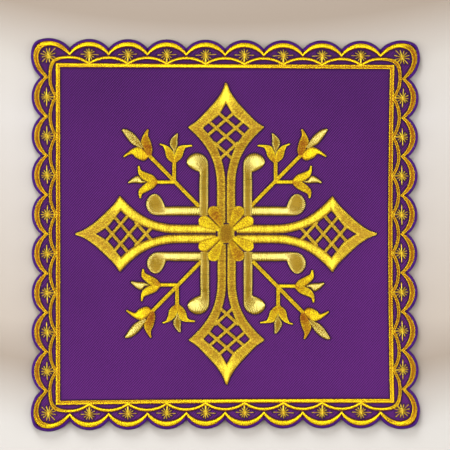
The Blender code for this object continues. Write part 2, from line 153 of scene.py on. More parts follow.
def border_spans(line, shift=0.0, steps=STEPS_AN_ARC):
    """The spans of a border line all the way round, side by side and corner by corner."""
    foot, top, bend, middle = line
    arcs = [
        arc_over(-SIDE_HALF + shift + k * PITCH, foot, top, steps)
        for k in range(SCALLOPS_A_SIDE - round(2 * shift / PITCH))
    ]
    half = [arcs[-1][-1], *bend, (middle, middle)]
    corner = curve_through(half + [(b, a) for a, b in half[-2::-1]], STEPS_A_BEND)
    return [
        [drawn_in(*p) for p in turned(span, -90 * turn)]
        for turn in range(4)
        for span in [*arcs, corner]
    ]


edge_spans = border_spans(CLOTH_EDGE, steps=STEPS_ON_THE_EDGE)
cloth_outline = [p for span in edge_spans for p in span[:-1]]
print("points on the cloth's edge:", len(cloth_outline))

# %% [markdown]
# ## Materials in a maker's hands
#
# Shader maths reads best as sums. A small class wraps a number on its way through a node tree, so that an
# ordinary Python expression adds the Math nodes. Every other node comes from one method.

# %% Sums that become nodes
class Flow:
    """A number or colour on its way through a node tree."""

    def __init__(self, nodes, socket):
        self.nodes, self.socket = nodes, socket

    def math(self, operation, *others):
        """A Math node on this value and others."""
        made = self.nodes.tree.nodes.new("ShaderNodeMath")
        made.operation = operation
        for socket, value in zip(made.inputs, (self, *others)):
            self.nodes.join(value, socket)
        return Flow(self.nodes, made.outputs[0])

    def __add__(self, other):
        return self.math("ADD", other)

    def __sub__(self, other):
        return self.math("SUBTRACT", other)

    def __rsub__(self, other):
        return self.math("MULTIPLY", -1.0) + other

    def __mul__(self, other):
        return self.math("MULTIPLY", other)

    def __truediv__(self, other):
        return self.math("DIVIDE", other)

    def __pow__(self, other):
        return self.math("POWER", other)

    __radd__, __rmul__ = __add__, __mul__


def set_stops(elements, stops):
    """Gives a ramp its stops, each a place and a colour."""
    for element, (place, colour) in zip(elements, (stops[0], stops[-1])):
        element.position, element.color = place, (*colour, 1.0)
    for place, colour in stops[1:-1]:
        elements.new(place).color = (*colour, 1.0)


class Nodes:
    """A node tree that is written as calls."""

    def __init__(self, tree):
        self.tree = tree

    def join(self, value, socket):
        """Links a flow to a socket, or sets the socket to a plain value."""
        if isinstance(value, Flow):
            self.tree.links.new(value.socket, socket)
        else:
            socket.default_value = value

    def add(self, kind, settings=None, out=0, **sockets):
        """A new node: its settings, then its sockets by name or by number, as in i0=..."""
        made = self.tree.nodes.new(kind)
        for key, value in (settings or {}).items():
            if key == "stops":
                set_stops(made.color_ramp.elements, value)
            else:
                setattr(made, key, value)
        for key, value in sockets.items():
            place = int(key[1:]) if key[0] == "i" and key[1:].isdigit() else key.replace("_", " ")
            self.join(value, made.inputs[place])
        return Flow(self, made.outputs[out]) if made.outputs else made


def new_material(name):
    """An empty material and its nodes."""
    material = bpy.data.materials.new(name)
    material.use_nodes = True
    material.node_tree.nodes.clear()
    return material, Nodes(material.node_tree)


# %% [markdown]
# ## Gold thread
#
# Embroidery gold is a bright polyester thread wound with a metal foil. The foil gives a yellow glint where
# the thread lies across the light, and the core shows a deeper orange where it doesn't. So each thread is a
# fixed mix of two shaders, a dull core and a shiny foil, each given as a dark and a light colour. Each
# stitch carries its own tone between them. Part of it differs at random, since the twist is never even, and
# part is painted light and shade, set run by run where a run looks lighter or darker. Noise along the thread
# stands for the foil's turns. There are four golds: a bright one for the border, an older one for the cross
# and the stars, a browner one for the lilies and the rosette, whose low tones turn orange, and a pale one.
# The violet thread of the edge has little foil and no metal.

# %% The thread materials
TWISTS_A_METRE = 1500.0
TWIST_DEPTH = 0.05 * MM


def blend(nodes, amount, low, high):
    """A colour between two, by an amount that varies over the surface."""
    return nodes.add(
        "ShaderNodeMix", {"data_type": "RGBA"}, out=2, i0=amount, i6=(*low, 1.0), i7=(*high, 1.0))


def make_thread(name, core, foil, share, rough=0.2, metal=1.0):
    """A thread with a dull core and a shiny foil, each given as its dark and its light colour."""
    material, nodes = new_material(name)
    # The tone holds random variation and, for some runs, painted light and shade.
    tone = nodes.add("ShaderNodeAttribute", {"attribute_name": "tone"}, out=2)
    place = nodes.add("ShaderNodeTexCoord", out=3)
    twist = nodes.add("ShaderNodeTexNoise", Vector=place, Scale=TWISTS_A_METRE, Detail=3.0, Roughness=0.7)
    amount = (tone * 0.8 + twist * 0.8 - 0.3).math("MAXIMUM", 0.0).math("MINIMUM", 1.0)
    bump = nodes.add("ShaderNodeBump", Strength=0.15, Distance=TWIST_DEPTH, Height=twist)
    dull = nodes.add(
        "ShaderNodeBsdfPrincipled", Base_Color=blend(nodes, amount, *core), Roughness=0.75,
        Specular_IOR_Level=0.0, Normal=bump)
    shiny = nodes.add(
        "ShaderNodeBsdfPrincipled", Base_Color=blend(nodes, amount, *foil), Metallic=metal,
        Roughness=rough + 0.1 * twist, Normal=bump)
    both = nodes.add("ShaderNodeMixShader", i0=share, i1=dull, i2=shiny)
    nodes.add("ShaderNodeOutputMaterial", Surface=both)
    return material


golden = make_thread(
    "golden_thread",
    core=((0.42, 0.035, 0.035), (0.66, 0.085, 0.045)),
    foil=((0.66, 0.62, 0.003), (0.84, 0.81, 0.006)),
    share=0.67)
old_gold = make_thread(
    "old_gold_thread",
    core=((0.38, 0.18, 0.02), (0.66, 0.39, 0.05)),
    foil=((0.44, 0.39, 0.02), (0.74, 0.68, 0.04)),
    share=0.5, rough=0.22)
lily_gold = make_thread(
    "lily_gold_thread",
    core=((0.40, 0.11, 0.02), (0.78, 0.53, 0.03)),
    foil=((0.42, 0.28, 0.005), (0.76, 0.74, 0.008)),
    share=0.5, rough=0.22)
pale_gold = make_thread(
    "pale_gold_thread",
    core=((0.40, 0.22, 0.0), (0.60, 0.35, 0.004)),
    foil=((0.46, 0.43, 0.12), (0.64, 0.60, 0.22)),
    share=0.65)
violet_thread = make_thread(
    "violet_thread",
    core=((0.037, 0.0045, 0.14), (0.081, 0.009, 0.265)),
    foil=((0.037, 0.006, 0.148), (0.074, 0.015, 0.265)),
    share=0.3, rough=0.5, metal=0.0)
for thread in (golden, old_gold, lily_gold, pale_gold, violet_thread):
    print("thread material:", thread.name)

# %% [markdown]
# ## Violet twill
#
# Twill shows fine slanting ribs, here rising to the right a little steeper than half a right angle. The rib
# is a sine across the slant, broken along it by the weft that passes over and under. The ribs drive the bump
# and a darkening between them, and a wide soft noise keeps the cloth from looking printed. The colour also
# deepens a little towards the upper edge, which is painted shade, and goes nearly black beside the
# stitching, which is painted shade in the crease there.

# %% The cloth material
RIB_ANGLE = math.radians(48)
RIB_PITCH, WEFT_PITCH = 0.78, 0.74
# Painted shade: the near-black colour of the crease beside the stitching.
CREASE_SHADE_COLOUR = (0.012, 0.001, 0.03)
RIB_DEPTH = 0.12 * MM
# Painted shade: how much the colour deepens for each millimetre upwards.
SHADE_PAINTED_UPWARDS = 0.0018


def make_twill(name, dark, light):
    """Slanting ribs in violet, with painted shade towards the upper edge and in the crease beside the
    stitching.
    """
    material, nodes = new_material(name)
    place = nodes.add("ShaderNodeTexCoord", out=3)
    pressed = nodes.add("ShaderNodeAttribute", {"attribute_name": "pressed"}, out=2)
    wander = nodes.add("ShaderNodeTexNoise", Vector=place, Scale=160.0, Detail=2.0)
    split = nodes.add("ShaderNodeSeparateXYZ", Vector=place).socket.node
    x, y = (Flow(nodes, split.outputs[k]) * (1 / MM) for k in range(2))
    across = (y * math.cos(RIB_ANGLE) - x * math.sin(RIB_ANGLE)) / RIB_PITCH + wander * 0.35
    along = (y * math.cos(RIB_ANGLE) + x * math.sin(RIB_ANGLE)) / WEFT_PITCH + wander * 0.5
    rib = (across * (2 * math.pi)).math("SINE") * 0.5 + 0.5
    weft = (along * (2 * math.pi)).math("SINE") * 0.5 + 0.5
    fluff = nodes.add("ShaderNodeTexNoise", Vector=place, Scale=1900.0, Detail=3.0, Roughness=0.7)
    cloud = nodes.add("ShaderNodeTexNoise", Vector=place, Scale=22.0, Detail=2.0)
    height = rib * 0.6 + weft * 0.3 + fluff * 0.3
    # Painted shade: darker towards the upper edge, and near black in the crease beside the stitching.
    lightness = rib * 1.1 + weft * 0.3 + fluff * 0.7 + cloud * 0.4 - y * SHADE_PAINTED_UPWARDS - 0.79
    amount = lightness * (1.0 - pressed) - pressed
    amount = amount.math("MAXIMUM", -1.0).math("MINIMUM", 1.0)
    shade = (amount * -1.0).math("MAXIMUM", 0.0)
    lit = blend(nodes, amount.math("MAXIMUM", 0.0), dark, light)
    colour = nodes.add(
        "ShaderNodeMix", {"data_type": "RGBA"}, out=2, i0=shade, i6=lit, i7=(*CREASE_SHADE_COLOUR, 1.0))
    bump = nodes.add("ShaderNodeBump", Strength=0.55, Distance=RIB_DEPTH, Height=height)
    shader = nodes.add(
        "ShaderNodeBsdfPrincipled", Base_Color=colour, Roughness=0.86, Normal=bump, Specular_IOR_Level=0.25)
    nodes.add("ShaderNodeOutputMaterial", Surface=shader)
    return material


twill = make_twill("violet_twill", (0.020, 0.0012, 0.050), (0.112, 0.0135, 0.195))
print("cloth material:", twill.name)

# %% [markdown]
# ## Laying stitches
#
# One stitch is a thread that comes up at one rail, bows over the padding and goes down at the other. There
# are thousands, so Geometry Nodes lay them: the script gives one bare edge for each stitch, and the tree
# turns it into a bowed tube. The points crowd towards the ends, where the thread turns down into the cloth.
# There it rises steeply, and it is nearly flat between. No two threads rise quite alike.

# %% The tree that lays the thread
END_CROWDING = 0.36
TREE_INPUTS = (
    ("Geometry", "Geometry"),
    ("Thread Radius", "Float"),
    ("Points", "Int"),
    ("Sides", "Int"),
    ("Unevenness", "Float"),
    ("Seed", "Int"),
    ("Thread", "Material"),
)


def stitch_tree():
    """Bare edges in, bowed threads out."""
    tree = bpy.data.node_groups.new("lay_stitches", "GeometryNodeTree")
    face = tree.interface
    for label, kind in TREE_INPUTS:
        face.new_socket(label, in_out="INPUT", socket_type="NodeSocket" + kind)
    face.new_socket("Geometry", in_out="OUTPUT", socket_type="NodeSocketGeometry")
    nodes = Nodes(tree)
    group = tree.nodes.new("NodeGroupInput")
    given = {socket.name: Flow(nodes, socket) for socket in group.outputs if socket.name}
    curves = nodes.add("GeometryNodeMeshToCurve", Mesh=given["Geometry"])
    fine = nodes.add("GeometryNodeResampleCurve", Curve=curves, Count=given["Points"])
    part = nodes.add("GeometryNodeSplineParameter")
    swing = (part * math.pi).math("COSINE")
    turn = 0.5 - swing.math("SIGN") * swing.math("ABSOLUTE") ** END_CROWDING * 0.5
    bow = (part * math.pi).math("SINE")
    rise = nodes.add("GeometryNodeInputNamedAttribute", {"data_type": "FLOAT"}, Name="rise")
    span = nodes.add("GeometryNodeInputNamedAttribute", {"data_type": "FLOAT_VECTOR"}, Name="span")
    which = nodes.add("GeometryNodeCurveOfPoint")
    lift = nodes.add(
        "FunctionNodeRandomValue", {"data_type": "FLOAT"}, out=1,
        i2=given["Unevenness"] * -1.0, i3=given["Unevenness"], ID=which, Seed=given["Seed"])
    up = nodes.add("ShaderNodeCombineXYZ", Z=bow * rise * (lift + 1.0))
    slide = nodes.add("ShaderNodeVectorMath", {"operation": "SCALE"}, i0=span, Scale=turn - part)
    moved = nodes.add(
        "GeometryNodeSetPosition", Geometry=fine,
        Offset=nodes.add("ShaderNodeVectorMath", {"operation": "ADD"}, i0=slide, i1=up))
    ring = nodes.add(
        "GeometryNodeCurvePrimitiveCircle", Resolution=given["Sides"], Radius=given["Thread Radius"])
    tubes = nodes.add("GeometryNodeCurveToMesh", Curve=moved, Profile_Curve=ring, Fill_Caps=True)
    smooth = nodes.add("GeometryNodeSetShadeSmooth", Geometry=tubes)
    real = nodes.add("GeometryNodeRealizeInstances", Geometry=smooth)
    made = nodes.add("GeometryNodeSetMaterial", Geometry=real, Material=given["Thread"])
    nodes.add("NodeGroupOutput", i0=made)
    return tree


STITCH_TREE = stitch_tree()
print("stitch tree nodes:", len(STITCH_TREE.nodes))


# %% [markdown]
# ## From rails to thread
#
# Stitches are spaced mostly by the longer rail, so that the outside of a curve is never bare. Under the
# thread goes padding, as in real raised embroidery: a low crowned strip in the same colour, which closes the
# view between two threads.

# %% Rungs and padding
PITCH_OF_THREAD = 0.38
LONGER_RAIL, SHORTER_RAIL = 0.85, 0.15
PADDING_INSET = 0.34
# Across the strip as a part of its width, and up as a part of its rise.
PADDING_SECTION = ((0.0, 0.0), (0.12, 0.55), (0.5, 0.8), (0.88, 0.55), (1.0, 0.0))


def rungs_between(left, right, pitch=PITCH_OF_THREAD):
    """Evenly spaced stitches between two rails of as many points."""
    legs = []
    for a, b, c, d in zip(left, left[1:], right, right[1:]):
        both = (math.dist(a, b), math.dist(c, d))
        legs.append(LONGER_RAIL * max(both) + SHORTER_RAIL * min(both))
    count = max(2, round(sum(legs) / pitch))
    found, leg, gone = [], 0, 0.0
    for k in range(count):
        want = sum(legs) * (k + 0.5) / count
        while leg < len(legs) - 1 and gone + legs[leg] < want:
            gone += legs[leg]
            leg += 1
        t = min(1.0, (want - gone) / max(legs[leg], 1e-6))
        found.append(tuple(
            tuple(p + (q - p) * t for p, q in zip(rail[leg], rail[leg + 1])) for rail in (left, right)))
    return found


def padding_strip(left, right, rise, foot):
    """Points and faces of the crowned strip under a run of stitches, in millimetres."""
    points, faces = [], []
    for a, b in zip(left, right):
        wide = max(math.dist(a, b), 1e-6)
        cut = min(0.3, PADDING_INSET / wide)
        for across, up in PADDING_SECTION:
            t = cut + (1 - 2 * cut) * across
            points.append((a[0] + (b[0] - a[0]) * t, a[1] + (b[1] - a[1]) * t, foot + rise * up))
    size = len(PADDING_SECTION)
    for rung in range(len(left) - 1):
        for k in range(size):
            here, after = rung * size + k, rung * size + (k + 1) % size
            faces.append((here, after, after + size, here + size))
    faces.append(tuple(range(size)))
    faces.append(tuple((len(left) - 1) * size + k for k in range(size)))
    return points, faces


# %% [markdown]
# ## A piece of embroidery
#
# All the runs in one thread that belong together are gathered first and sewn in one go. Neighbouring
# threads lean to either side by turns, as a zigzag does, and their ends are uneven by a few hundredths of a
# millimetre. A run has one tone, which drifts along it and varies from thread to thread. Its heart, the
# stitches at its start, may be deeper or lighter: a deeper heart is painted shade, and a lighter one painted
# light.

# %% Gathering and sewing
# Lengths are in millimetres. LEAN_OF_WIDTH is a share of the width, and END_INSET one of the radius.
THREAD_RADIUS = 0.22
LEAN_OF_WIDTH, LEAN_LEAST = 0.03, 0.02
END_INSET, RAGGED_ENDS = 0.35, 0.03
DIG_IN, PADDING_DIG_IN = 0.06, 0.05
TONE_DRIFT, DRIFT_A_STITCH = 0.12, 0.33
HEART_FADE = 2.2
UNEVEN_RISE = 0.07
PADDING_TONE = 0.1


def put_in_scene(name, data):
    """A new object at the origin."""
    made = bpy.data.objects.new(name, data)
    bpy.context.scene.collection.objects.link(made)
    return made


def give_values(mesh, name, values):
    """Gives each point of a mesh a number that trees and materials can read."""
    mesh.attributes.new(name, "FLOAT", "POINT").data.foreach_set("value", values)


class Embroidery:
    """Runs of stitches in one thread, with their padding, gathered before they are sewn."""

    def __init__(self, name, material, radius=THREAD_RADIUS, points=8, sides=4, seed=1):
        self.name, self.material = name, material
        self.radius, self.points, self.sides, self.seed = radius, points, sides, seed
        self.dice = random.Random(seed)
        self.stitches, self.pads = [], []

    def stitch(self, start, stop, rise, tone=0.5):
        """One thread between two points, given as (x, y, z) in millimetres."""
        self.stitches.append((start, stop, rise, tone))

    def satin(
            self, left, right, rise, foot=CLOTH_LEVEL, pitch=PITCH_OF_THREAD, tone=0.5, vary=0.2, heart=0.0):
        """Satin stitch on padding: threads from rail to rail."""
        drift = self.dice.uniform(0, 6)
        rungs = rungs_between(left, right, pitch)
        for k, (a, b) in enumerate(rungs):
            wide = max(math.dist(a, b), 1e-6)
            along = Vector((a[1] - b[1], b[0] - a[0])) / wide
            lean = along * min(pitch, LEAN_OF_WIDTH * wide + LEAN_LEAST) * (0.5 if k % 2 else -0.5)
            a, b = Vector(a) + lean, Vector(b) - lean
            ragged = [self.dice.uniform(-RAGGED_ENDS, RAGGED_ENDS) for _ in range(2)]
            at_start, at_stop = (min(0.4, (self.radius * END_INSET + more) / wide) for more in ragged)
            start = (*(p + (q - p) * at_start for p, q in zip(a, b)), foot - DIG_IN)
            stop = (*(q + (p - q) * at_stop for p, q in zip(a, b)), foot - DIG_IN)
            shade = tone + TONE_DRIFT * math.sin(k * DRIFT_A_STITCH + drift) + self.dice.uniform(-vary, vary)
            # Painted shade or painted light on the stitches at the run's start, by the heart's sign.
            depth = heart * max(0.0, 1 - HEART_FADE * k / len(rungs))
            self.stitch(start, stop, rise, shade - depth)
        self.pads.append(padding_strip(left, right, rise, foot - PADDING_DIG_IN))

    def threads(self):
        """The stitches as one plain mesh object, laid by Geometry Nodes."""
        mesh = bpy.data.meshes.new(self.name)
        points, spans, rises, tones = [], [], [], []
        for start, stop, rise, tone in self.stitches:
            points += [Vector(start) * MM, Vector(stop) * MM]
            spans += [*((Vector(stop) - Vector(start)) * MM)] * 2
            rises += [rise * MM] * 2
            tones += [tone] * 2
        mesh.from_pydata(points, [(k, k + 1) for k in range(0, len(points), 2)], [])
        mesh.attributes.new("span", "FLOAT_VECTOR", "POINT").data.foreach_set("vector", spans)
        give_values(mesh, "rise", rises)
        give_values(mesh, "tone", tones)
        piece = put_in_scene(self.name, mesh)
        lay = piece.modifiers.new("lay", "NODES")
        lay.node_group = STITCH_TREE
        values = {
            "Thread Radius": self.radius * MM, "Points": self.points, "Sides": self.sides,
            "Unevenness": UNEVEN_RISE, "Seed": self.seed, "Thread": self.material,
        }
        for socket in STITCH_TREE.interface.items_tree:
            if socket.in_out == "INPUT" and socket.name in values:
                lay[socket.identifier] = values[socket.name]
        bpy.context.view_layer.update()
        whole = bpy.data.meshes.new_from_object(
            piece.evaluated_get(bpy.context.evaluated_depsgraph_get()))
        piece.modifiers.remove(lay)
        piece.data = whole
        whole.name = self.name
        return piece

    def padding(self):
        """The padding strips as one mesh object."""
        points, faces = [], []
        for more_points, more_faces in self.pads:
            start = len(points)
            points += [tuple(v * MM for v in p) for p in more_points]
            faces += [tuple(start + k for k in face) for face in more_faces]
        mesh = bpy.data.meshes.new(self.name + "_padding")
        mesh.from_pydata(points, [], faces)
        work = bmesh.new()
        work.from_mesh(mesh)
        bmesh.ops.recalc_face_normals(work, faces=work.faces)
        work.to_mesh(mesh)
        work.free()
        give_values(mesh, "tone", [PADDING_TONE] * len(points))
        mesh.materials.append(self.material)
        return put_in_scene(self.name + "_padding", mesh)

    def sew(self, slot, *stands_for):
        """Makes both meshes, fixes them to the pall and hides the solids that they stand for."""
        made = [self.threads()]
        if self.pads:
            made.append(self.padding())
        for piece in made:
            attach(piece, "root")
        if stands_for:
            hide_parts(*stands_for)
        faces = sum(len(piece.data.polygons) for piece in made)
        print(self.name, "stitches:", len(self.stitches), "faces:", faces)
        return made


# %% [markdown]
# ## The square line
#
# The gold square inside the border is a narrow satin line, and each of its sides bows in very slightly.
# Its corners are mitred: the rungs of one side end on the diagonal, where those of the next begin. On the
# upper and lower sides the threads stand upright and shine, and on the other two they lie across and look
# darker. Nothing is painted for that: it comes from the thread.

# %% Sew the square line
square_line = Embroidery("square_line", golden, seed=3)
for turn in range(4):
    spots = [-1 + k / 12 for k in range(25)]
    rails = [
        [drawn_in(*p) for p in turned([(level * s, level) for s in spots], -90 * turn)]
        for level in (FRAME_OUTER, FRAME_INNER)
    ]
    square_line.satin(*rails, rise=0.2)
square_line.sew("golden_thread", "border_lace")

# %% [markdown]
# ## Arches
#
# A thin satin line springs from the middle of each scallop to the middle of the next and stands on the
# square line. Round each corner one longer bend joins the last two.

# %% Sew the thin arches
thin_arches = Embroidery("thin_arches", golden, radius=0.2, seed=5)
for outer, inner in zip(border_spans(ARCH_OUTER, PITCH / 2), border_spans(ARCH_INNER, PITCH / 2)):
    thin_arches.satin(outer, inner, rise=0.2, tone=0.35)
thin_arches.sew("golden_thread")

# %% [markdown]
# ## Crescents
#
# Each scallop carries a crescent: broad in the middle, narrow where it meets its neighbours in the valley.
# Its outer rail bows more than its inner one, and that alone gives the swelling. The corner lobes have
# the same crescent drawn out long. The threads of the upper and lower sides stand upright and shine, so
# those sides are given a deeper tone as painted shade, and the left and right ones a lighter tone as
# painted light.

# %% Sew the crescents
# The upper, right, lower and left side, each with the corner after it.
# Painted shade on the upper and lower sides, painted light on the left and right ones.
CRESCENT_PAINTED_TONES = (0.1, 0.45, 0.1, 0.6)
crescents = Embroidery("crescents", golden, seed=7)
for k, (outer, inner) in enumerate(zip(border_spans(CORD_OUTER), border_spans(CORD_INNER))):
    tone = CRESCENT_PAINTED_TONES[k // (SCALLOPS_A_SIDE + 1)]
    crescents.satin(outer, inner, rise=0.26, tone=tone, pitch=0.42)
crescents.sew("golden_thread", "scallop_cord")

# %% [markdown]
# ## Stars
#
# A star is the simplest embroidery there is: single threads from one hole in the middle. The two rays along
# the edge are longer, and the ray that points inward is doubled and runs down to the foot of the arches.
# They are sewn in the older gold, whose paler core keeps the slanting rays from going dark.

# %% Sew the stars
STAR_LEVEL, STAR_RAYS = 73.9, 12
STAR_RAY, STAR_LONG_RAY, STAR_TAIL = 2.45, 4.0, 3.6
STAR_HOLE, STAR_RISE, STAR_DIG_IN = 0.25, 0.3, 0.04
DOUBLED_ASIDE = 0.15
CORNER_STAR_AT, CORNER_RAY, CORNER_TAIL = 73.3, 3.1, 3.1
stars = Embroidery("stars", old_gold, radius=0.19, points=6, seed=9)


def sew_star(at, tail_angle, ray, tail):
    """Single stitches out of one hole, the inward one doubled."""
    for k in range(STAR_RAYS):
        angle = tail_angle + 2 * math.pi * k / STAR_RAYS + stars.dice.uniform(-0.06, 0.06)
        length = {0: tail, 3: STAR_LONG_RAY, STAR_RAYS - 3: STAR_LONG_RAY}.get(k, ray)
        length *= stars.dice.uniform(0.86, 1.06)
        along = Vector((math.cos(angle), math.sin(angle)))
        aside = Vector((-along.y, along.x)) * DOUBLED_ASIDE
        for side in ((-1, 1) if k == 0 else (0,)):
            start = (*(Vector(at) - along * STAR_HOLE + aside * side), CLOTH_LEVEL)
            stop = (*(Vector(at) + along * length + aside * side), CLOTH_LEVEL - STAR_DIG_IN)
            stars.stitch(start, stop, STAR_RISE, stars.dice.uniform(0.5, 1.0))


for turn in range(4):
    inward = -math.pi / 2 * (1 + turn)
    for k in range(SCALLOPS_A_SIDE):
        middle = (-SIDE_HALF + (k + 0.5) * PITCH, STAR_LEVEL)
        sew_star(drawn_in(*turned([middle], -90 * turn)[0]), inward, STAR_RAY, STAR_TAIL)
    corner = turned([(CORNER_STAR_AT, CORNER_STAR_AT)], -90 * turn)[0]
    sew_star(drawn_in(*corner), inward - math.pi / 4, CORNER_RAY, CORNER_TAIL)
stars.sew("old_gold_thread")

# %% [markdown]
# ## The arms of the cross
#
# Each arm is one satin band that runs out beside the axis, flares round a window and closes in a point.
# Half of it is a table of rungs. The rungs stay square to the arm as far as the side corners, then swing
# round until they run along it at the tip, so the flanks brighten or darken towards the point. The outer
# part is given a lighter tone, which is painted light.

# %% Sew the arms
ARM_TO_CORNER = (
    # outer along, outer aside, inner along, inner aside
    (4.4, 3.7, 4.4, 0.33),
    (12.0, 3.7, 12.0, 0.33),
    (19.8, 3.7, 19.8, 0.35),
    (25.0, 4.1, 25.0, 0.65),
    (30.5, 5.5, 30.6, 1.95),
    (35.6, 8.1, 36.1, 4.05),
    (39.9, 11.5, 40.5, 7.0),
    (43.9, 15.6, 43.5, 9.8),
)
CORNER_TO_TIP = (
    (43.9, 15.6, 43.5, 9.8),
    (46.2, 12.3, 44.5, 8.6),
    (49.6, 8.9, 46.8, 5.6),
    (51.9, 6.75, 48.5, 3.5),
    (54.3, 4.6, 50.6, 2.0),
    (58.6, 1.6, 52.9, 0.7),
    (62.3, 0.1, 54.3, 0.05),
)
# Where each arm really lies, against its drawing: right, upper, left and lower.
ARM_SHIFTS = ((0.0, -0.15), (0.0, 0.0), (0.1, -0.1), (0.25, 0.0))
# The tip's lighter tone is painted light.
ARM_TONE, TIP_PAINTED_TONE = 0.45, 0.75


def on_arm(line, quarter):
    """A line drawn along an arm, turned into one of the four quarters and moved to its place."""
    shift = ARM_SHIFTS[quarter]
    return turned(line, 90 * quarter, (CROSS_CENTRE[0] + shift[0], CROSS_CENTRE[1] + shift[1]))


arms = Embroidery("cross_arms", old_gold, sides=5, seed=11)
for quarter in range(4):
    for side in (-1, 1):
        for table, tone in ((ARM_TO_CORNER, ARM_TONE), (CORNER_TO_TIP, TIP_PAINTED_TONE)):
            rails = []
            for a, b in ((0, 1), (2, 3)):
                line = curve_through([(row[a], row[b] * side) for row in table], 4)
                rails.append(on_arm(line, quarter))
            arms.satin(*rails, rise=0.47, tone=tone, vary=0.35)
arms.sew("old_gold_thread", *[f"cross_arm_{k}" for k in (1, 2, 3, 4)])

# %% [markdown]
# ## The window lines
#
# Three thin lines on each slant cross in the window of every arm. The second slant is sewn over the first,
# so it lies a little higher.

# %% Sew the window lines
WINDOW_LINES = (
    # from along, from aside, to along, to aside
    (50.0, -3.4, 40.5, 7.6),
    (46.5, -7.4, 36.3, 4.4),
    (37.6, -5.0, 30.6, 2.8),
)
WINDOW_LINE_HALF = 0.6


def straight_rails(start, stop, half):
    """The two rails of a straight satin line of even width."""
    start, stop = Vector(start), Vector(stop)
    aside = (stop - start).normalized().orthogonal() * half
    return [[tuple(start.lerp(stop, k / 8) + aside * way) for k in range(9)] for way in (-1, 1)]


window = Embroidery("window_lines", old_gold, radius=0.19, seed=13)
for quarter in range(4):
    for slant, rise in ((1, 0.22), (-1, 0.34)):
        for x0, y0, x1, y1 in WINDOW_LINES:
            rails = straight_rails((x0, y0 * slant), (x1, y1 * slant), WINDOW_LINE_HALF)
            window.satin(*[on_arm(line, quarter) for line in rails], rise=rise, tone=0.8)
window.sew("old_gold_thread")

# %% [markdown]
# ## The pale staffs
#
# Four angle pieces in pale gold stand between the arms. Each ends in two round heads. The rungs fan out
# round the lip of a head, so the threads turn a right angle there, and the head shines where the bar is
# dark. At the elbow the upright bar is sewn through and the level one starts beside it. The upright bar is
# given a deeper tone with a lighter start, and the level one the other way round: painted shade and
# painted light.

# %% Sew the staffs
STAFF_HEAD = (
    # outer along, outer aside, inner along, inner aside
    (23.9, 7.4, 23.9, 10.8),
    (27.2, 7.4, 25.3, 10.9),
    (29.9, 7.7, 25.5, 11.4),
    (31.7, 8.9, 25.7, 12.0),
    (32.8, 10.9, 26.0, 12.7),
    (32.8, 13.0, 26.4, 13.5),
    (31.9, 14.7, 26.9, 14.3),
    (30.8, 15.7, 27.5, 15.1),
    (29.6, 16.1, 28.6, 15.9),
)
STAFF_OUTER, STAFF_INNER = 7.4, 10.95
UPRIGHT_FROM, LEVEL_FROM, HEAD_FROM = 7.3, 10.9, 23.9
# Tone and heart of the upright bar, then of the level one, as painted shade and painted light.
UPRIGHT_PAINTED_TONES, LEVEL_PAINTED_TONES = (0.25, -0.7), (0.75, 0.8)
MIRRORS = ((1, 1), (-1, 1), (-1, -1), (1, -1))
STAFF_SHIFTS = ((-0.25, 0.15), (0.0, 0.2), (0.4, -0.25), (-0.1, -0.3))


def mirrored(line, flips, shifts):
    """A line of the first quarter, mirrored into another quarter and moved to its place."""
    shift_x, shift_y = shifts[MIRRORS.index(flips)]
    return [
        (x * flips[0] + shift_x + CROSS_CENTRE[0], y * flips[1] + shift_y + CROSS_CENTRE[1])
        for x, y in line
    ]


staffs = Embroidery("staffs", pale_gold, sides=5, seed=17)
for flips in MIRRORS:
    for upright in (True, False):
        start = UPRIGHT_FROM if upright else LEVEL_FROM
        outer = [(start + (HEAD_FROM - start) * k / 6, STAFF_OUTER) for k in range(6)]
        inner = [(x, STAFF_INNER) for x, _ in outer]
        outer += curve_through([(a, b) for a, b, _, _ in STAFF_HEAD], 3)
        inner += curve_through([(a, b) for _, _, a, b in STAFF_HEAD], 3)
        rails = []
        for line in (outer, inner):
            placed = [(b, a) if upright else (a, b) for a, b in line]
            rails.append(mirrored(placed, flips, STAFF_SHIFTS))
        tone, heart = UPRIGHT_PAINTED_TONES if upright else LEVEL_PAINTED_TONES
        staffs.satin(*rails, rise=0.46, pitch=0.37, tone=tone, vary=0.3, heart=heart)
staffs.sew("pale_gold_thread", *[f"staff_{k}" for k in (1, 2, 3, 4)])

# %% [markdown]
# ## Lily sprays
#
# In each quarter a stem forks into three lilies. Two golden petals hold a pale one between them. The tables
# give each petal's two edges from base to tip for one quarter, and the others are its mirror images, as a
# digitiser would make them. The stems are plain satin lines of even width and are sewn first.

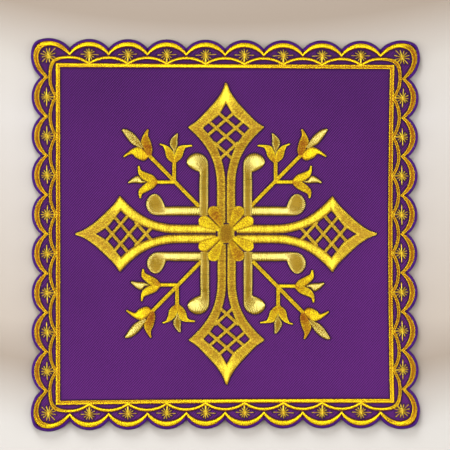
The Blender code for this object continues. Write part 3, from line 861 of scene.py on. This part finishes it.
# %% The spray's drawing
STEM_HALF = 0.7
STEMS = (
    # from, to
    ((10.2, 10.8), (31.2, 32.2)),
    ((20.7, 21.5), (20.6, 29.8)),
    ((20.9, 21.0), (28.4, 21.0)),
)
GOLD_PETALS = (
    (((30.3, 31.5), (29.7, 34.2), (30.4, 37.6), (31.5, 40.3), (31.25, 42.6)),
     ((31.4, 32.4), (33.0, 34.6), (34.1, 37.0), (33.9, 39.1), (31.7, 42.8))),
    (((31.3, 32.2), (33.2, 34.3), (35.2, 35.4), (37.9, 34.6), (41.5, 31.8)),
     ((31.2, 31.4), (33.2, 29.9), (36.3, 31.1), (38.1, 32.6), (41.4, 31.3))),
    (((19.8, 29.1), (17.6, 31.2), (16.6, 34.0), (15.8, 35.3), (13.3, 35.8)),
     ((20.9, 29.4), (20.6, 31.6), (20.0, 33.6), (18.4, 35.8), (13.4, 36.3))),
    (((20.3, 29.4), (20.6, 31.6), (21.2, 33.6), (23.4, 35.7), (26.4, 36.9)),
     ((21.4, 29.1), (23.6, 31.0), (24.4, 34.0), (25.2, 35.9), (26.6, 36.4))),
    (((27.4, 21.3), (29.4, 23.7), (32.5, 25.0), (34.4, 25.9), (35.0, 27.7)),
     ((27.4, 20.8), (30.8, 20.9), (33.9, 22.4), (35.3, 24.6), (35.5, 27.6))),
    (((27.4, 21.3), (30.8, 21.3), (33.2, 19.8), (35.2, 17.5), (34.9, 14.5)),
     ((27.4, 20.7), (29.2, 18.6), (32.0, 17.1), (33.9, 16.1), (34.4, 14.4))),
)
# Painted light and shade: one tone for each golden petal, in the order above.
GOLD_PETAL_PAINTED_TONES = (0.3, 0.7, 1.0, 0.9, 0.85, 0.7)
PALE_PETALS = (
    (((33.3, 35.4), (34.5, 37.4), (36.7, 40.3), (39.5, 42.4), (41.7, 42.9)),
     ((34.0, 34.8), (35.9, 35.7), (38.1, 37.0), (40.2, 39.5), (42.1, 42.4))),
    (((20.4, 32.6), (20.1, 34.2), (19.3, 36.4), (19.3, 38.6), (19.1, 41.0)),
     ((20.8, 32.6), (21.1, 34.2), (22.4, 36.6), (21.8, 38.8), (19.6, 41.0))),
    (((32.4, 21.3), (34.1, 21.8), (35.6, 23.5), (37.6, 22.7), (39.6, 21.0)),
     ((32.4, 21.0), (33.9, 20.6), (35.6, 20.7), (37.6, 20.8), (39.4, 20.5))),
)
# Below the cross the last two pale petals came out a little different.
PALE_PETALS_BELOW = (
    PALE_PETALS[0],
    (((20.4, 32.6), (19.9, 34.2), (19.1, 36.2), (19.2, 38.4), (19.2, 40.4)),
     ((20.8, 32.6), (21.1, 34.2), (22.2, 36.4), (21.4, 38.6), (19.8, 40.5))),
    (((32.4, 21.3), (34.1, 21.6), (35.6, 23.0), (37.6, 22.0), (39.6, 20.1)),
     ((32.4, 20.8), (33.9, 20.2), (35.6, 19.9), (37.6, 19.8), (39.4, 19.5))),
)
SPRAY_SHIFTS = ((-0.2, 0.3), (-0.75, 0.25), (0.45, -0.15), (0.85, -0.65))


def petal_rails(edges, flips):
    """A petal's two edges in one of the quarters."""
    return [mirrored(curve_through(edge, 5), flips, SPRAY_SHIFTS) for edge in edges]


# %% Sew the stems
stems = Embroidery("stems", lily_gold, seed=19)
for flips in MIRRORS:
    for start, stop in STEMS:
        rails = [mirrored(line, flips, SPRAY_SHIFTS) for line in straight_rails(start, stop, STEM_HALF)]
        stems.satin(*rails, rise=0.22, tone=0.8)
stems.sew("golden_thread")

# %% [markdown]
# ## Golden petals
#
# Two bowed petals curl away from each other. Their threads run from edge to edge, so they turn with the
# petal, and the light changes along it. Each petal is given a tone of its own as painted light and shade,
# and its heart at the base is painted deeper, as painted shade.

# %% Sew the golden petals
golden_petals = Embroidery("golden_petals", lily_gold, seed=23)
for flips in MIRRORS:
    for edges, tone in zip(GOLD_PETALS, GOLD_PETAL_PAINTED_TONES):
        golden_petals.satin(*petal_rails(edges, flips), rise=0.28, tone=tone, heart=0.7)
golden_petals.sew("golden_thread", *[f"spray_{k}" for k in (1, 2, 3, 4)])

# %% [markdown]
# ## Pale petals
#
# The pale petal in the middle comes last and is padded a little higher, so that it stands before the others.

# %% Sew the pale petals
pale_petals = Embroidery("pale_petals", pale_gold, seed=29)
for flips in MIRRORS:
    for edges in PALE_PETALS if flips[1] > 0 else PALE_PETALS_BELOW:
        pale_petals.satin(*petal_rails(edges, flips), rise=0.34)
pale_petals.sew("pale_gold_thread", *[f"lily_heart_{k}{c}" for k in (1, 2, 3, 4) for c in "abc"])

# %% [markdown]
# ## The rosette
#
# Eight petals lie over the crossing, two in each quarter with a dark gap on the diagonal. They are sewn
# over the bars, so their stitches start higher there, and each is given a tone of its own, as painted
# light and shade. The oval disc in the middle is sewn last. Its threads are level and its tone is the
# deepest, so it is the darkest gold of all.

# %% Sew the rosette
ROSETTE_TURN = 29.5
PETAL_RUNGS = (
    # out from the centre, half width
    (3.0, 0.75),
    (6.2, 1.5),
    (8.6, 2.15),
    (10.2, 2.4),
    (11.3, 2.2),
    (12.1, 1.5),
    (12.6, 0.5),
)
# Painted light and shade: one tone for each petal.
ROSETTE_PAINTED_TONES = (0.6, 0.55, 0.25, 0.75, 0.65, 0.8, 0.3, 0.8)
OVER_THE_BARS, OVER_THE_PETALS = 0.5, 1.0
DISC_WIDE, DISC_LONG = 3.5, 3.85
rosette = Embroidery("rosette_petals", lily_gold, sides=5, seed=31)
for k, tone in enumerate(ROSETTE_PAINTED_TONES):
    angle = 90 * (k // 2) + (90 - ROSETTE_TURN if k % 2 else ROSETTE_TURN)
    rails = [
        turned(curve_through([(out, half * way) for out, half in PETAL_RUNGS], 4), angle, CROSS_CENTRE)
        for way in (-1, 1)
    ]
    rosette.satin(*rails, rise=0.5, foot=CLOTH_LEVEL + OVER_THE_BARS, tone=tone)
rosette.sew("golden_thread", *[f"rosette_petal_{k}" for k in range(1, 9)])

disc = Embroidery("rosette_disc_thread", old_gold, sides=5, seed=37)
heights = [-0.98 + 1.96 * k / 16 for k in range(17)]
rails = []
for way in (-1, 1):
    rails.append([
        (CROSS_CENTRE[0] + way * DISC_WIDE * math.sqrt(1 - h * h), CROSS_CENTRE[1] + DISC_LONG * h)
        for h in heights
    ])
disc.satin(*rails, rise=0.32, foot=CLOTH_LEVEL + OVER_THE_PETALS, tone=-0.4)
disc.sew("old_gold_thread", "rosette_disc")

# %% [markdown]
# ## The cloth
#
# The cloth is one stiff sheet, cut along the scallops. Its outline is filled with a net of points, finer
# near the thread, because the surface will need them there. A triangulation that keeps the outline's own
# edges joins them.

# %% Fill the outline with a net
NET_STEP = 0.96
HALF_STEPS_OUT = 168
FINE_REACH = 1.0
RIM_CLEARANCE = 0.3
SURELY_INSIDE = 74


def inward_of(outline, inset):
    """The outline drawn in by a distance."""
    moved = []
    for k, (x, y) in enumerate(outline):
        before, after = outline[k - 1], outline[(k + 1) % len(outline)]
        along = Vector((after[0] - before[0], after[1] - before[1])).normalized()
        moved.append((x + along.y * inset, y - along.x * inset))
    return moved


def inside(x, y, outline):
    """True if a point lies within the outline."""
    odd = False
    for (ax, ay), (bx, by) in zip(outline, outline[1:] + outline[:1]):
        if (ay > y) != (by > y) and x < (bx - ax) * (y - ay) / (by - ay) + ax:
            odd = not odd
    return odd


embroidered = (
    square_line, thin_arches, crescents, stars, arms, window, staffs, stems, golden_petals, pale_petals)
beside = kdtree.KDTree(3 * sum(len(made.stitches) for made in embroidered))
for made in embroidered:
    for start, stop, _, _ in made.stitches:
        for t in (0.0, 0.5, 1.0) if made is stars else (0.0, 1.0):
            beside.insert((start[0] + (stop[0] - start[0]) * t, start[1] + (stop[1] - start[1]) * t, 0.0), 0)
beside.balance()


def clear_of_thread(x, y):
    """The distance to the nearest stitch hole, in millimetres."""
    return beside.find((x, y, 0.0))[2]


top_rim = inward_of(cloth_outline, EDGE_ROUND)
safe_rim = inward_of(cloth_outline, EDGE_ROUND + RIM_CLEARANCE)
net = []
for a in range(-HALF_STEPS_OUT, HALF_STEPS_OUT + 1):
    for b in range(-HALF_STEPS_OUT, HALF_STEPS_OUT + 1):
        x, y = NET_STEP / 2 * a, NET_STEP / 2 * b
        coarse = a % 2 == 0 and b % 2 == 0
        if not coarse and clear_of_thread(x, y) > FINE_REACH:
            continue
        if max(abs(x), abs(y)) < SURELY_INSIDE or inside(x, y, safe_rim):
            net.append((x, y))
count = len(top_rim)
flat_points, _, flat_faces, *_ = delaunay_2d_cdt(
    [Vector(p) for p in top_rim + net], [(k, (k + 1) % count) for k in range(count)], [], 1, 1e-5)
print("net points:", len(net), "triangles:", len(flat_faces))

# %% [markdown]
# ## The lie of the cloth
#
# The surface sinks a little beside the embroidery, where the thread pulls it down, and swells very slightly
# between. The same distance to the thread also goes to the twill, where it paints shade into the crease
# beside the stitching. The edge is rounded over by rings that follow the outline, and the underside is flat.

# %% Sink the cloth beside the thread and close the panel
SINK_DEPTH, SINK_WIDTH = 0.16, 0.6
# Strength and reach of the painted shade in the crease beside the stitching.
CREASE_SHADE_SHARE, CREASE_SHADE_WIDTH = 1.25, 0.42
SWELL_FROM = 4.0
# Inset and level of the rounded edge, from the top face to the underside.
EDGE_SECTION = (
    (0.12, CLOTH_LEVEL - 0.12),
    (0.0, CLOTH_LEVEL - EDGE_ROUND),
    (0.0, EDGE_ROUND),
    (0.12, 0.12),
    (EDGE_ROUND, 0.0),
)


def cloth_height(x, y):
    """The level of the cloth's top face, in millimetres."""
    broad = 0.05 * math.sin(x * 0.11 + 0.8) * math.sin(y * 0.09 - 0.4)
    swell = broad + 0.03 * math.sin(x * 0.23 - y * 0.19)
    near = clear_of_thread(x, y)
    sunk = SINK_DEPTH * math.exp(-((near / SINK_WIDTH) ** 2))
    return CLOTH_LEVEL + swell * min(1.0, near / SWELL_FROM) - sunk


cloth_mesh = bpy.data.meshes.new("cloth")
cloth_mesh.from_pydata(
    [(x * MM, y * MM, cloth_height(x, y) * MM) for x, y in flat_points], [], [tuple(f) for f in flat_faces])
# Painted shade in the crease beside the stitching, strongest next to the stitch holes.
pressed = [math.exp(-((clear_of_thread(x, y) / CREASE_SHADE_WIDTH) ** 2)) * CREASE_SHADE_SHARE for x, y in flat_points]
give_values(cloth_mesh, "pressed", pressed)
work = bmesh.new()
work.from_mesh(cloth_mesh)
outline_tree = kdtree.KDTree(count)
for k, (x, y) in enumerate(top_rim):
    outline_tree.insert((x, y, 0.0), k)
outline_tree.balance()
rim = [edge for edge in work.edges if edge.is_boundary]
place = {}
for edge in rim:
    for vert in edge.verts:
        place[vert] = outline_tree.find((vert.co.x / MM, vert.co.y / MM, 0.0))[1]
for inset, level in EDGE_SECTION:
    ring = inward_of(cloth_outline, inset)
    made = bmesh.ops.extrude_edge_only(work, edges=rim)["geom"]
    rim = [item for item in made if isinstance(item, bmesh.types.BMEdge) and item.is_boundary]
    fresh = {}
    for vert in (item for item in made if isinstance(item, bmesh.types.BMVert)):
        above = next(edge.other_vert(vert) for edge in vert.link_edges if edge.other_vert(vert) in place)
        fresh[vert] = place[above]
        vert.co = Vector((*ring[place[above]], level)) * MM
    place = fresh
bmesh.ops.contextual_create(work, geom=rim)
bmesh.ops.triangulate(work, faces=[face for face in work.faces if len(face.verts) > 4])
bmesh.ops.recalc_face_normals(work, faces=work.faces)
for face in work.faces:
    face.smooth = True
work.to_mesh(cloth_mesh)
work.free()
cloth_mesh.materials.append(twill)
cloth = put_in_scene("cloth", cloth_mesh)
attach(cloth, "root")
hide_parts("panel")
print("cloth faces:", len(cloth_mesh.polygons))

# %% [markdown]
# ## The overcast edge
#
# The scallops are finished with a narrow violet satin stitch that wraps over the cut edge. It is a shade
# brighter than the twill, since its threads lie close and smooth. It uses the same tree: each stitch starts
# on top, just outside the gold, and ends on the side of the cloth.

# %% Sew the edge
EDGE_PITCH, EDGE_BOW = 0.4, 0.85
LAP_LEAST, LAP_MOST = 0.85, 0.98
edge_stitch = Embroidery("edge_stitch", violet_thread, radius=0.2, points=6, seed=41)
for span in edge_spans:
    rungs = rungs_between(span, span, EDGE_PITCH)
    for k, (a, _) in enumerate(rungs):
        b = rungs[min(k + 1, len(rungs) - 1)][0]
        c = rungs[max(k - 1, 0)][0]
        along = Vector((b[0] - c[0], b[1] - c[1])).normalized()
        out = Vector((-along.y, along.x))
        start = (*(Vector(a) - out * edge_stitch.dice.uniform(LAP_LEAST, LAP_MOST)), CLOTH_LEVEL - 0.12)
        stop = (*(Vector(a) + out * 0.02), 1.0)
        edge_stitch.stitch(start, stop, EDGE_BOW, edge_stitch.dice.uniform(0.2, 0.8))
edge_stitch_made = edge_stitch.sew("violet_twill")

# %% [markdown]
# ## The table
#
# The pall lies on a pale surface with soft bands of shade across it, which bend a little with the distance
# from its middle. A ramp over the distance from the lower side holds them.

# %% Surface
BANDS_SPAN = 0.8
BEND, BEND_LIMIT = 1.17, 0.01
SURFACE_HALF = 3.0
# Place in the span from the near side to the far one, and colour.
SURFACE_BANDS = (
    (0.3925, (0.425, 0.425, 0.42)),
    (0.425, (0.26, 0.225, 0.192)),
    (0.445, (0.34, 0.308, 0.276)),
    (0.55, (0.39, 0.384, 0.38)),
    (0.58, (0.368, 0.358, 0.344)),
    (0.61, (0.23, 0.195, 0.163)),
    (0.8, (0.39, 0.38, 0.37)),
)
pale_surface, nodes = new_material("pale_surface")
spot = nodes.add("ShaderNodeTexCoord", out=3)
aside, up = (
    Flow(nodes, nodes.add("ShaderNodeSeparateXYZ", Vector=spot).socket.node.outputs[k]) for k in (0, 1))
bend = (aside * aside).math("MINIMUM", BEND_LIMIT) * BEND
ramp = nodes.add("ShaderNodeValToRGB", {"stops": SURFACE_BANDS}, Fac=(up - bend) / BANDS_SPAN + 0.5)
shader = nodes.add("ShaderNodeBsdfPrincipled", Base_Color=ramp, Roughness=0.7, Specular_IOR_Level=0.2)
nodes.add("ShaderNodeOutputMaterial", Surface=shader)
floor_mesh = bpy.data.meshes.new("surface")
corners = [(x * SURFACE_HALF, y * SURFACE_HALF, 0.0) for x, y in ((-1, -1), (1, -1), (1, 1), (-1, 1))]
floor_mesh.from_pydata(corners, [], [(0, 1, 2, 3)])
floor_mesh.materials.append(pale_surface)
surface = put_in_scene("surface", floor_mesh)

# %% [markdown]
# ## The light
#
# Two long soft lights stand low on the left and the right, since upright threads shine and level ones don't.
# A weaker one beyond the upper edge lights the surface alone. It drops the soft shadow below the pall and a
# little to its right, and adds no glints to the gold. A warm, weak sky fills the rest.

# %% Lights
def soft_light(name, at, size, power):
    """A rectangular soft light that faces the pall."""
    lamp = bpy.data.lights.new(name, "AREA")
    lamp.shape = "RECTANGLE"
    lamp.size, lamp.size_y = size
    lamp.energy = power
    light = put_in_scene(name, lamp)
    light.location = at
    light.rotation_euler = Vector(at).to_track_quat("Z", "Y").to_euler()
    return light


LONG_LIGHT = (0.6, 3.2)
soft_light("left_light", at=(-1.07, -0.05, 0.5), size=LONG_LIGHT, power=37.0)
soft_light("right_light", at=(1.09, 0.15, 0.5), size=LONG_LIGHT, power=30.0)
top_light = soft_light("top_light", at=(-0.25, 0.95, 0.6), size=(0.5, 0.5), power=15.0)
only_surface = bpy.data.collections.new("only_surface")
only_surface.objects.link(surface)
top_light.light_linking.receiver_collection = only_surface
world = bpy.data.worlds.new("studio")
world.use_nodes = True
background = world.node_tree.nodes["Background"]
background.inputs["Color"].default_value = (1.0, 0.70, 0.40, 1.0)
background.inputs["Strength"].default_value = 0.33
bpy.context.scene.world = world
bpy.context.scene.view_settings.view_transform = "Standard"

# %% [markdown]
# ## The camera
#
# The photograph looks straight down, from far enough away that the square stays square. The picture is
# 450 pixels wide, and one pixel covers 0.41237 mm of the cloth's top.

# %% Camera
PIXEL = 0.41237 * MM
PICTURE_WIDTH, PICTURE_MIDDLE = 450, 225
# The pixel where the frame's origin lies, counted from the left and from the top.
ORIGIN_ACROSS, ORIGIN_DOWN = 224, 234.5
SENSOR = 36.0
HEIGHT = 1.3
camera = put_in_scene("camera", bpy.data.cameras.new("camera"))
camera.data.sensor_width = SENSOR
camera.data.lens = SENSOR * (HEIGHT - CLOTH_LEVEL * MM) / (PICTURE_WIDTH * PIXEL)
camera.data.clip_start, camera.data.clip_end = 0.01, 20.0
camera.location = (
    (PICTURE_MIDDLE - ORIGIN_ACROSS) * PIXEL, (ORIGIN_DOWN - PICTURE_MIDDLE) * PIXEL, HEIGHT)
bpy.context.scene.camera = camera
print("lens:", round(camera.data.lens, 1), "mm")
